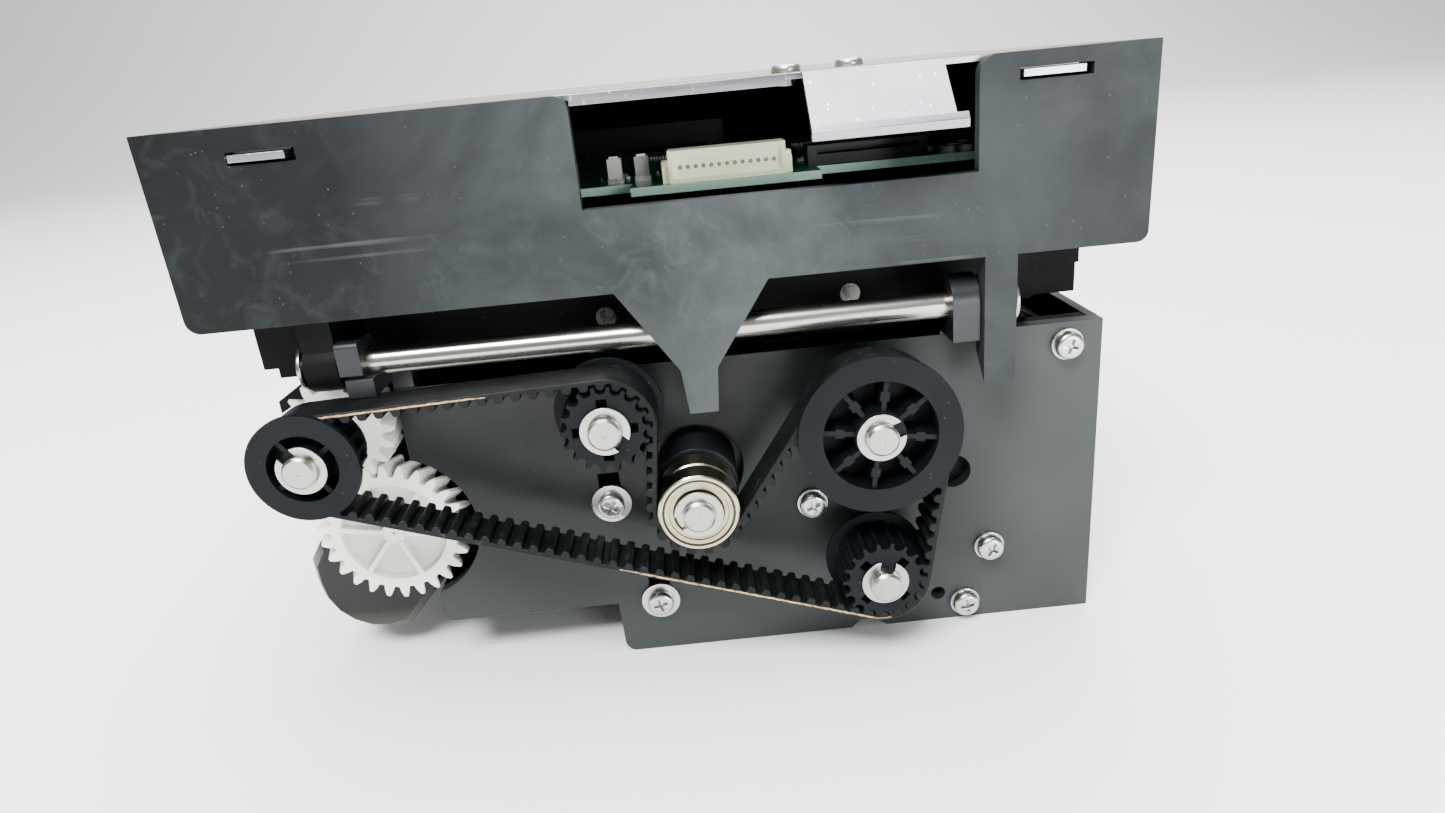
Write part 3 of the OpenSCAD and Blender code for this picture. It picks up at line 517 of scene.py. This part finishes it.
def rounded_copy(node, width_mm=0.25, segments=2, angle=28, looks=None, name=None):
    """The CAD node's shape with small rounds along its hard edges, in place of the node."""
    bm = bmesh.new()
    bm.from_mesh(NODES[node].data)
    bmesh.ops.remove_doubles(bm, verts=bm.verts, dist=1e-6)
    bmesh.ops.dissolve_limit(bm, angle_limit=math.radians(0.6), verts=bm.verts, edges=bm.edges)
    bm.normal_update()
    made = new_object(name or node + "_moulded", bm)
    bevel = made.modifiers.new("round", "BEVEL")
    bevel.width, bevel.segments = width_mm * MM, segments
    bevel.limit_method, bevel.angle_limit = "ANGLE", math.radians(angle)
    bevel.use_clamp_overlap = True
    bevel.miter_outer = "MITER_ARC"
    applied(made)
    weighted = made.modifiers.new("normals", "WEIGHTED_NORMAL")
    weighted.keep_sharp = True
    for polygon in made.data.polygons:
        polygon.use_smooth = True
    applied(made)
    made.data.materials.clear()
    for look in looks or [material(RECORD_NODES[node])]:
        made.data.materials.append(look)
    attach(made, BODY_OF[node])
    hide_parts(node)
    return made


def block(bm, low, high, mat=0):
    """A closed box between two corners, in millimetres."""
    made = bmesh.ops.create_cube(bm, size=1)["verts"]
    low, high = Vector(low), Vector(high)
    for vert in made:
        vert.co = Vector([(low[i] + high[i]) / 2 + vert.co[i] * (high[i] - low[i]) for i in range(3)]) * MM
    for face in {f for v in made for f in v.link_faces}:
        face.material_index = mat
    return made


def lathe(bm, centre, profile, steps=96, mats=None):
    """A closed ring about an axis along Y. profile is a closed list of (radius, y), in millimetres."""
    rings = []
    for k in range(steps):
        a = 2 * math.pi * k / steps
        rings.append([bm.verts.new(Vector((centre[0] + r * math.cos(a), y, centre[1] + r * math.sin(a))) * MM)
                      for r, y in profile])
    count = len(profile)
    for k in range(steps):
        here, there = rings[k], rings[(k + 1) % steps]
        for i in range(count):
            j = (i + 1) % count
            face = bm.faces.new((here[i], here[j], there[j], there[i]))
            face.material_index = mats[i] if mats else 0


def recalc(bm):
    bmesh.ops.recalc_face_normals(bm, faces=bm.faces)


def centre_of(node):
    """Centre of a node's box in X and Z, in millimetres."""
    low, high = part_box(node)
    return ((low.x + high.x) / 2 / MM, (low.z + high.z) / 2 / MM)


# ---------------------------------------------------------------- belt

PITCH_MM = 3.0
SMALL_R, LARGE_R = 18 * PITCH_MM / (2 * math.pi), 28 * PITCH_MM / (2 * math.pi)
# Radius of the belt's pitch line round the idler
IDLER_R = 8.25


def wheel_list():
    """(centre, signed pitch radius) in belt order; the back of the belt bears on the idler."""
    return [(centre_of("inlet_shaft"), SMALL_R), (centre_of("middle_shaft"), SMALL_R),
            (centre_of("idler_stud"), -IDLER_R), (centre_of("outlet_shaft"), LARGE_R),
            (centre_of("drive_shaft"), SMALL_R)]


class BeltPath:
    """The belt's pitch line: spans tangent to each pair of wheels, and the arcs between them."""

    def __init__(self, wheels):
        self.parts = []
        count = len(wheels)
        normals = [self.span_normal(wheels[i], wheels[(i + 1) % count]) for i in range(count)]
        start = 0.0
        for i, (centre, radius) in enumerate(wheels):
            a_in, a_out = normals[i - 1], normals[i]
            turn = -((a_in - a_out) % (2 * math.pi)) if radius > 0 else (a_out - a_in) % (2 * math.pi)
            length = abs(turn * radius)
            self.parts.append(("arc", start, length, centre, radius, a_in, turn))
            start += length
            after, r_after = wheels[(i + 1) % count]
            reach = math.dist(centre, after)
            length = math.sqrt(reach ** 2 - (r_after - radius) ** 2)
            self.parts.append(("span", start, length, centre, radius, a_out, 0))
            start += length
        self.length = start

    @staticmethod
    def span_normal(here, there):
        (cx, cz), r1 = here
        (dx, dz), r2 = there
        reach = math.dist((cx, cz), (dx, dz))
        return math.atan2(dz - cz, dx - cx) + math.asin((r2 - r1) / reach) + math.pi / 2

    def at(self, s, offset):
        """Point at arc length s, offset outwards from the pitch line, in millimetres."""
        s %= self.length
        for kind, start, length, (cx, cz), radius, angle, turn in self.parts:
            if s <= start + length:
                break
        if kind == "arc":
            a = angle + turn * (s - start) / length
            return cx + (radius + offset) * math.cos(a), cz + (radius + offset) * math.sin(a)
        nx, nz = math.cos(angle), math.sin(angle)
        along = s - start
        return cx + (radius + offset) * nx + along * nz, cz + (radius + offset) * nz - along * nx


# Offsets of the back and of the land between teeth from the pitch line, and a tooth's height
BELT_BACK, BELT_LAND, TOOTH_H = 0.58, -0.36, 1.12
# A tooth with rounded shoulders: (place along the belt, height) from its middle
HALF_TOOTH = ((0.36, TOOTH_H), (0.58, 1.02), (0.74, 0.82), (0.82, 0.50), (0.90, 0.12), (0.98, 0.0))
TOOTH_SHAPE = (*((-u, h) for u, h in reversed(HALF_TOOTH)), (0.0, TOOTH_H), *HALF_TOOTH)
LAND_SHAPE = ((1.25, 0.0), (1.5, 0.0), (1.75, 0.0))


def belt_piece(path):
    """The toothed belt, swept round its path with small chamfers along its edges."""
    low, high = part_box("timing_belt")
    y0, y1 = low.y / MM, high.y / MM
    teeth = round(path.length / PITCH_MM)
    pitch = path.length / teeth
    edge = 0.16
    bm = bmesh.new()
    rings = []
    for tooth in range(teeth):
        for u, height in TOOTH_SHAPE + LAND_SHAPE:
            s = tooth * pitch + u * pitch / PITCH_MM
            inner = BELT_LAND - height
            outline = ((inner + edge, y0), (inner, y0 + edge), (inner, y1 - edge), (inner + edge, y1),
                       (BELT_BACK - edge, y1), (BELT_BACK, y1 - edge), (BELT_BACK, y0 + edge),
                       (BELT_BACK - edge, y0))
            ring = []
            for offset, y in outline:
                x, z = path.at(s, offset)
                ring.append(bm.verts.new(Vector((x, y, z)) * MM))
            rings.append(ring)
    for k, here in enumerate(rings):
        there = rings[(k + 1) % len(rings)]
        for i in range(8):
            bm.faces.new((here[i], here[(i + 1) % 8], there[(i + 1) % 8], there[i]))
    recalc(bm)
    add_piece("timing_belt_toothed", bm, "lower_unit", [material("belt_rubber")],
              ["timing_belt"], 40)


def cord_edge(path, first, last, rng):
    """Frayed tan cord along the belt's front edge, between two arc lengths."""
    y0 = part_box("timing_belt")[0].y / MM
    bm = bmesh.new()
    steps = int((last - first) / 0.45)
    rings = []
    for k in range(steps + 1):
        s = first + (last - first) * k / steps
        ends = min(1, k / 12, (steps - k) / 12)
        half = 0.08 + 0.17 * ends * rng.uniform(0.55, 1.0)
        mid = 0.06 + rng.uniform(-0.05, 0.05)
        proud = 0.05 + 0.10 * rng.random()
        ring = []
        for offset, y in ((mid - half, y0 + 0.1), (mid - half * 0.6, y0 - proud),
                          (mid + half * 0.6, y0 - proud), (mid + half, y0 + 0.1)):
            x, z = path.at(s, offset)
            ring.append(bm.verts.new(Vector((x, y, z)) * MM))
        rings.append(ring)
    for here, there in zip(rings, rings[1:]):
        for i in range(4):
            bm.faces.new((here[i], here[(i + 1) % 4], there[(i + 1) % 4], there[i]))
    bm.faces.new(rings[0])
    bm.faces.new(list(reversed(rings[-1])))
    recalc(bm)
    return bm


# ---------------------------------------------------------------- gears

MODULE, PRESSURE, BACKLASH = 1.08, math.radians(20), 0.06
HELIX = math.radians(20)
INLET_TEETH, FEED_TEETH = 18, 26
FLANK_STEPS = 6


def involute(a):
    return math.tan(a) - a


def gear_points(teeth, phase):
    """(angle, radius) along the tooth outline, anticlockwise from +X, in millimetres."""
    pitch_r = teeth * MODULE / 2
    base_r, root_r = pitch_r * math.cos(PRESSURE), pitch_r - 1.25 * MODULE
    radii = [pitch_r + MODULE * (0.37 * k - 0.85) for k in range(FLANK_STEPS)]

    def half(r):
        worked = math.acos(min(1, base_r / max(r, base_r)))
        return math.pi / 2 / teeth - BACKLASH / pitch_r + involute(PRESSURE) - involute(worked)

    points = []
    for k in range(teeth):
        mid = phase + 2 * math.pi * k / teeth
        gap = math.pi / teeth
        points += [(mid - gap, root_r), (mid - gap + (gap - half(radii[0])) * 0.6, root_r)]
        points += [(mid - half(r), r) for r in radii]
        points += [(mid, radii[-1] + 0.02)]
        points += [(mid + half(r), r) for r in reversed(radii)]
        points += [(mid + gap - (gap - half(radii[0])) * 0.6, root_r)]
    return points


def gear_piece(name, node, teeth, phase, hand, recess, ribs, y_ref):
    """A helical gear along Y. hand is the helix's sense, recess the depth of the front web, or 0
    for a plain face, ribs how many cross the web, and y_ref where the two gears' teeth line up."""
    cx, cz = centre_of(node)
    low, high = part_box(node)
    y0, y1 = low.y / MM, high.y / MM
    points = gear_points(teeth, phase)
    pitch_r = teeth * MODULE / 2
    slices = 10
    rim_r, hub_r, bore_r = pitch_r - 3.4, 2.3, 0.35
    bm = bmesh.new()

    def ring(radius, y, twist=0.0):
        made = []
        for angle, r in points:
            a = angle + twist
            rr = r if radius is None else radius
            made.append(bm.verts.new(Vector((cx + rr * math.cos(a), y, cz + rr * math.sin(a))) * MM))
        return made

    def skin(a, b):
        count = len(a)
        return [bm.faces.new((a[i], a[(i + 1) % count], b[(i + 1) % count], b[i])) for i in range(count)]

    def twist_at(y):
        return hand * (y - y_ref) * math.tan(HELIX) / pitch_r

    chamfer = 0.25
    outer = [ring(None, y0 + chamfer + (y1 - y0 - 2 * chamfer) * k / slices,
                  twist_at(y0 + (y1 - y0) * k / slices)) for k in range(slices + 1)]
    for a, b in zip(outer, outer[1:]):
        skin(a, b)
    for end, y, flip in ((outer[0], y0, 1), (outer[-1], y1, -1)):
        tight = []
        for vert in end:
            d = Vector((vert.co.x - cx * MM, 0, vert.co.z - cz * MM))
            r = d.length / MM
            d = d.normalized() * max(r - chamfer, pitch_r - 1.25 * MODULE - 0.1) * MM
            tight.append(bm.verts.new(Vector((cx * MM + d.x, y * MM, cz * MM + d.z))))
        skin(end, tight)
        profile = [(rim_r, y), (rim_r - 0.2, y + recess), (hub_r, y + recess), (hub_r, y),
                   (bore_r, y), (bore_r, y + 0.8)]
        if not recess or flip < 0:
            profile = [(rim_r, y), (bore_r, y), (bore_r, y + flip * 0.3)]
        twist = twist_at(y)
        before = tight
        for k, (r, yy) in enumerate(profile):
            now = ring(r, yy, twist)
            for face in skin(before, now):
                face.material_index = 1 if recess and flip > 0 and k == 2 else 0
            before = now
        bm.faces.new(before)
    if recess:
        for k in range(ribs):
            a = phase + 2 * math.pi * k / ribs
            made = block(bm, (hub_r - 0.3, y0, -0.45), (rim_r + 0.2, y0 + recess + 0.1, 0.45))
            turn = Matrix.Rotation(-a, 4, "Y")
            for vert in made:
                vert.co = turn @ vert.co + Vector((cx * MM, 0, cz * MM))
    recalc(bm)
    web = web_look().material if recess else material("gear_plastic")
    add_piece(name, bm, BODY_OF[node], [material("gear_plastic"), web], [node], 35)


# ---------------------------------------------------------------- bearings and rings

def bearing_piece():
    """Idler: two bearings with ground outer rings and inset oily shields."""
    cx, cz = centre_of("idler_stud")
    low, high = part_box("idler_bearing_outers")
    y0, y1 = low.y / MM, high.y / MM
    wide = 5.0
    r_out, r_in, step = 7.5, 4.42, 0.25
    steel, shield = material("bearing_steel"), shield_look().material
    bm = bmesh.new()
    for y in (y0, y1 - wide):
        profile = [(r_out, y + step), (r_out - step, y), (6.75, y), (6.6, y + 0.35), (6.4, y + 0.35),
                   (6.3, y + 0.12), (5.55, y + 0.16), (5.45, y + 0.4), (4.75, y + 0.42), (4.65, y + 0.75),
                   (r_in, y + 0.75), (r_in, y + wide - 0.4), (6.2, y + wide - 0.3), (6.35, y + wide),
                   (r_out - step, y + wide), (r_out, y + wide - step)]
        # 0 is ground steel, 1 the shield, 2 a groove darkened as painted shade
        mats = [0, 0, 2, 2, 2, 1, 2, 1, 2, 2, 2, 1, 0, 0, 0, 0]
        lathe(bm, (cx, cz), profile, 96, mats)
    recalc(bm)
    add_piece("idler_bearing_rings", bm, "idler_wheel",
              [steel, shield, groove_shade_look().material], ["idler_bearing_outers"], 25)
    bm = bmesh.new()
    for y in (y0, y1 - wide):
        profile = [(4.3, y + 0.2), (4.15, y + 0.02), (3.05, y + 0.02), (3.02, y + wide), (4.15, y + wide),
                   (4.3, y + wide - 0.2)]
        lathe(bm, (cx, cz), profile)
    recalc(bm)
    add_piece("idler_bearing_cores", bm, "lower_unit", [steel], ["idler_bearing_inners"], 25)


def hinge_shaft_piece():
    """The long shaft along X, turned and chamfered."""
    low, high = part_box("hinge_shaft")
    x0, x1 = low.x / MM, high.x / MM
    radius = (high.z - low.z) / 2 / MM
    bm = bmesh.new()
    lathe(bm, (0, 0), [(0.02, x0), (radius - 0.4, x0), (radius, x0 + 0.4), (radius, x1 - 0.4),
                       (radius - 0.4, x1), (0.02, x1)], 72)
    for vert in bm.verts:
        vert.co = Vector((vert.co.y, (low.y + high.y) / 2 + vert.co.x, (low.z + high.z) / 2 + vert.co.z))
    recalc(bm)
    steel = steel_look("hinge_shaft_steel", (0.50, 0.485, 0.445), 0.22, (9, 420, 420), 0.05)
    marks = steel.step(steel.noise((130, 300, 300), 3, 0.6), 0.66, 0.72, 0, 0.7)
    steel.lay(marks, (0.10, 0.09, 0.08))
    add_piece("hinge_shaft_turned", bm, "lower_unit", [steel.material], ["hinge_shaft"], 25)


def shaft_piece(node, radius, chamfer=0.45):
    """A turned shaft along Y, chamfered, with a faint centre mark on its front end."""
    cx, cz = centre_of(node)
    low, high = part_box(node)
    y0, y1 = low.y / MM, high.y / MM
    bm = bmesh.new()
    grooves = [(0.5 + 0.25 * k, y0 + 0.03 * (k % 2)) for k in range(8)]
    profile = [(0.02, y0 + 0.12), (0.35, y0 + 0.02), *grooves, (radius - chamfer, y0), (radius, y0 + chamfer),
               (radius, y1 - chamfer), (radius - chamfer, y1), (0.02, y1)]
    lathe(bm, (cx, cz), profile, 64)
    recalc(bm)
    add_piece(node + "_turned", bm, BODY_OF[node], [material("shaft_steel")], [node], 25)


# ---------------------------------------------------------------- board

def board_pieces():
    """The circuit board with its masked faces and bare edges, and the parts soldered to it."""
    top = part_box("main_board")[1].z / MM
    rng = random.Random(7)
    bm = bmesh.new()
    bm.from_mesh(NODES["main_board"].data)
    bmesh.ops.remove_doubles(bm, verts=bm.verts, dist=1e-6)
    bmesh.ops.dissolve_limit(bm, angle_limit=math.radians(1), verts=bm.verts, edges=bm.edges)
    bm.normal_update()
    for face in bm.faces:
        face.material_index = 0 if abs(face.normal.z) > 0.5 else 1
    add_piece("main_board_masked", bm, "upper_unit",
              [material("board_green"), edge_look().material], ["main_board"])
    body, tin, white = material("component_plastic"), tin_look().material, ceramic_look().material
    bm = bmesh.new()
    tall, low_right = (-12, -6.5), (55.5, 59, 63)
    for x in tall:
        block(bm, (x, -69, top), (x + 3.2, -65.8, top + 0.9), 1)
        block(bm, (x + 0.2, -68.8, top + 0.9), (x + 3.0, -66, top + 4.8), 2)
        block(bm, (x + 0.7, -68.3, top + 4.8), (x + 2.5, -66.5, top + 5.2), 1)
    for x in low_right:
        block(bm, (x, -70, top), (x + 0.6, -68.4, top + 1.1), 1)
        block(bm, (x + 0.6, -70, top), (x + 2.2, -68.4, top + 1.0), 2)
        block(bm, (x + 2.2, -70, top), (x + 2.8, -68.4, top + 1.1), 1)
    for _ in range(46):
        x, y = rng.uniform(-16, 74), rng.uniform(-71.5, -50)
        by_connectors = -2.5 < x < 54 and y < -64
        by_tall_parts = -14 < x < -2 and y < -64
        by_low_parts = 53 < x < 67 and y < -66
        if by_connectors or by_tall_parts or by_low_parts:
            continue
        block(bm, (x, y, top), (x + 0.4, y + 0.9, top + 0.5), 1)
        block(bm, (x + 0.4, y, top), (x + 1.4, y + 0.9, top + 0.55), rng.choice((0, 2)))
        block(bm, (x + 1.4, y, top), (x + 1.8, y + 0.9, top + 0.5), 1)
    for x in (-40, -8, 30):
        block(bm, (x, -20, top + 0.1), (x + 18, -2, top + 1.6), 0)
        for pin in range(22):
            at = x + 0.9 + pin * 0.75
            block(bm, (at, -21.2, top), (at + 0.35, -20, top + 0.5), 1)
            block(bm, (at, -2, top), (at + 0.35, -0.8, top + 0.5), 1)
    for x in (-50, 58):
        can(bm, (x, 30), 4, top, top + 9)
    block(bm, (-45, 5, top), (15, 14, top + 7), 0)
    recalc(bm)
    add_piece("board_parts", bm, "upper_unit", [body, tin, white], ["board_components"])


def can(bm, at, radius, z0, z1):
    """An upright round can, such as an electrolytic capacitor."""
    steps = 32
    levels = ((radius - 0.4, z0), (radius, z0 + 0.5), (radius, z1 - 0.5), (radius - 0.4, z1))
    rings = [[bm.verts.new(Vector((at[0] + r * math.cos(2 * math.pi * k / steps),
                                   at[1] + r * math.sin(2 * math.pi * k / steps), z)) * MM)
              for k in range(steps)] for r, z in levels]
    for a, b in zip(rings, rings[1:]):
        for k in range(steps):
            face = bm.faces.new((a[k], a[(k + 1) % steps], b[(k + 1) % steps], b[k]))
            face.material_index = 1
    for ring in (rings[0], rings[-1]):
        bm.faces.new(ring).material_index = 1


def ceramic_look():
    look = Look("ceramic_pale", (0.55, 0.53, 0.48), 0.4)
    look.vary_colour(look.noise(500, 3), (0.45, 0.43, 0.38), (0.68, 0.66, 0.60))
    return look


def connector_piece():
    """Thirteen-way wire connector: a shroud around a floor of round pin mouths."""
    low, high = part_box("harness_connector")
    x0, x1 = low.x / MM + 1.3, high.x / MM - 1.3
    y0, y1, z0, z1 = low.y / MM, high.y / MM, low.z / MM, high.z / MM
    # Painted shade: dark discs stand in for the shaded pin holes.
    dark = Look("connector_mouth_painted_shade", (0.30, 0.26, 0.13), 0.6)
    dark.vary_colour(dark.noise(600, 2), (0.24, 0.20, 0.09), (0.42, 0.37, 0.2))
    bm = bmesh.new()
    wall = 0.8
    block(bm, (x0, y0, z0), (x1, y1, z0 + wall))
    block(bm, (x0, y0 + 0.1, z1 - wall), (x1, y1, z1))
    block(bm, (x0, y0, z0 + wall), (x0 + wall, y1, z1 - wall))
    block(bm, (x1 - wall, y0, z0 + wall), (x1, y1, z1 - wall))
    block(bm, (x0 + wall, y0 + 1.0, z0 + wall), (x1 - wall, y1, z1 - wall))
    for x in (x0 - 1.3, x1):
        block(bm, (x, y0 + 1.5, z0), (x + 1.3, y1, z0 + 3.2))
        block(bm, (x, y0 + 2.5, z0 + 3.2), (x + 1.3, y1, z0 + 4.0))
    pins, pin_pitch = 13, 1.5
    mid = (z0 + z1) / 2 - 0.2
    for k in range(pins):
        at = (x0 + x1) / 2 + (k - (pins - 1) / 2) * pin_pitch
        disc(bm, (at, y0 + 0.985, mid), 0.42, 1)
    recalc(bm)
    add_piece("harness_connector_shroud", bm, "upper_unit",
              [material("connector_nylon"), dark.material], ["harness_connector"])


def disc(bm, at, radius, mat, depth=0.06, steps=16):
    """A thin closed disc facing -Y."""
    rings = [[bm.verts.new(Vector((at[0] + radius * math.cos(2 * math.pi * k / steps), at[1] + dy,
                                   at[2] + radius * math.sin(2 * math.pi * k / steps))) * MM)
              for k in range(steps)] for dy in (-depth, depth)]
    for k in range(steps):
        bm.faces.new((rings[0][k], rings[0][(k + 1) % steps], rings[1][(k + 1) % steps],
                      rings[1][k])).material_index = mat
    for ring in rings:
        bm.faces.new(ring).material_index = mat


# ---------------------------------------------------------------- build

add_camera()
add_floor_and_light()

path = BeltPath(wheel_list())
belt_piece(path)
rng = random.Random(3)
cord = cord_look().material
# The belt's first and last spans run from the inlet pulley and back to it
top_start, lower_start = path.parts[1][1], path.parts[-1][1]
frayed = ((top_start - 4, top_start + 34), (lower_start - 4, lower_start + 50))
for index, (first, last) in enumerate(frayed):
    add_piece(f"belt_cord_edge_{index}", cord_edge(path, first, last, rng), "lower_unit",
              [cord])

inlet_c, feed_c = centre_of("inlet_shaft"), centre_of("feed_shaft")
mesh_angle = math.atan2(feed_c[1] - inlet_c[1], feed_c[0] - inlet_c[0])
gear_low, gear_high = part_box("feed_gear")
gear_mid = (gear_low.y + gear_high.y) / 2 / MM
gear_piece("inlet_gear_helical", "inlet_gear", INLET_TEETH, mesh_angle, 1, 0, 0, gear_mid)
feed_phase = mesh_angle + math.pi + math.pi / FEED_TEETH
gear_piece("feed_gear_helical", "feed_gear", FEED_TEETH, feed_phase, -1, 1.4, 6, gear_mid)

bearing_piece()
for node in ("inlet_shaft", "middle_shaft", "outlet_shaft", "drive_shaft", "idler_stud", "feed_shaft"):
    shaft_piece(node, 3.0)
hinge_shaft_piece()

board_pieces()
connector_piece()

rounded_copy("upper_housing", 0.35)
rounded_copy("front_side_plate", 0.22)
rounded_copy("rear_side_plate", 0.3)
rounded_copy("feed_nose", 0.6, looks=[material("nose_plastic")])
clip = clip_look().material
rounded_copy("hinge_clip", 0.35, 3, looks=[clip])
rounded_copy("hinge_boss", 0.35, 3, looks=[clip])
rounded_copy("tension_bracket", 0.3, looks=[clip])
rounded_copy("upper_frame", 0.3)
LARGE_FACE = 1e-4
cover = rounded_copy("top_cover", 0.16, looks=[material("cover_steel"), cover_top_look().material])
# Upward faces take the brown-tinted top material, a painted reflection.
for polygon in cover.data.polygons:
    if polygon.normal.z > 0.95 and polygon.area > LARGE_FACE:
        polygon.material_index = 1
rounded_copy("flat_cable_connector", 0.12)
for node in ("inlet_pulley", "middle_pulley", "outlet_pulley", "drive_pulley"):
    rounded_copy(node, 0.14)
for node in ("inlet_rings", "middle_rings", "outlet_rings", "drive_ring", "idler_ring", "hinge_shaft_rings"):
    rounded_copy(node, 0.12)
for node in ("case_screws", "slot_screws", "cover_screws"):
    rounded_copy(node, 0.12)

for node, made in NODES.items():
    made.data.materials.clear()
    made.data.materials.append(material(RECORD_NODES[node]))
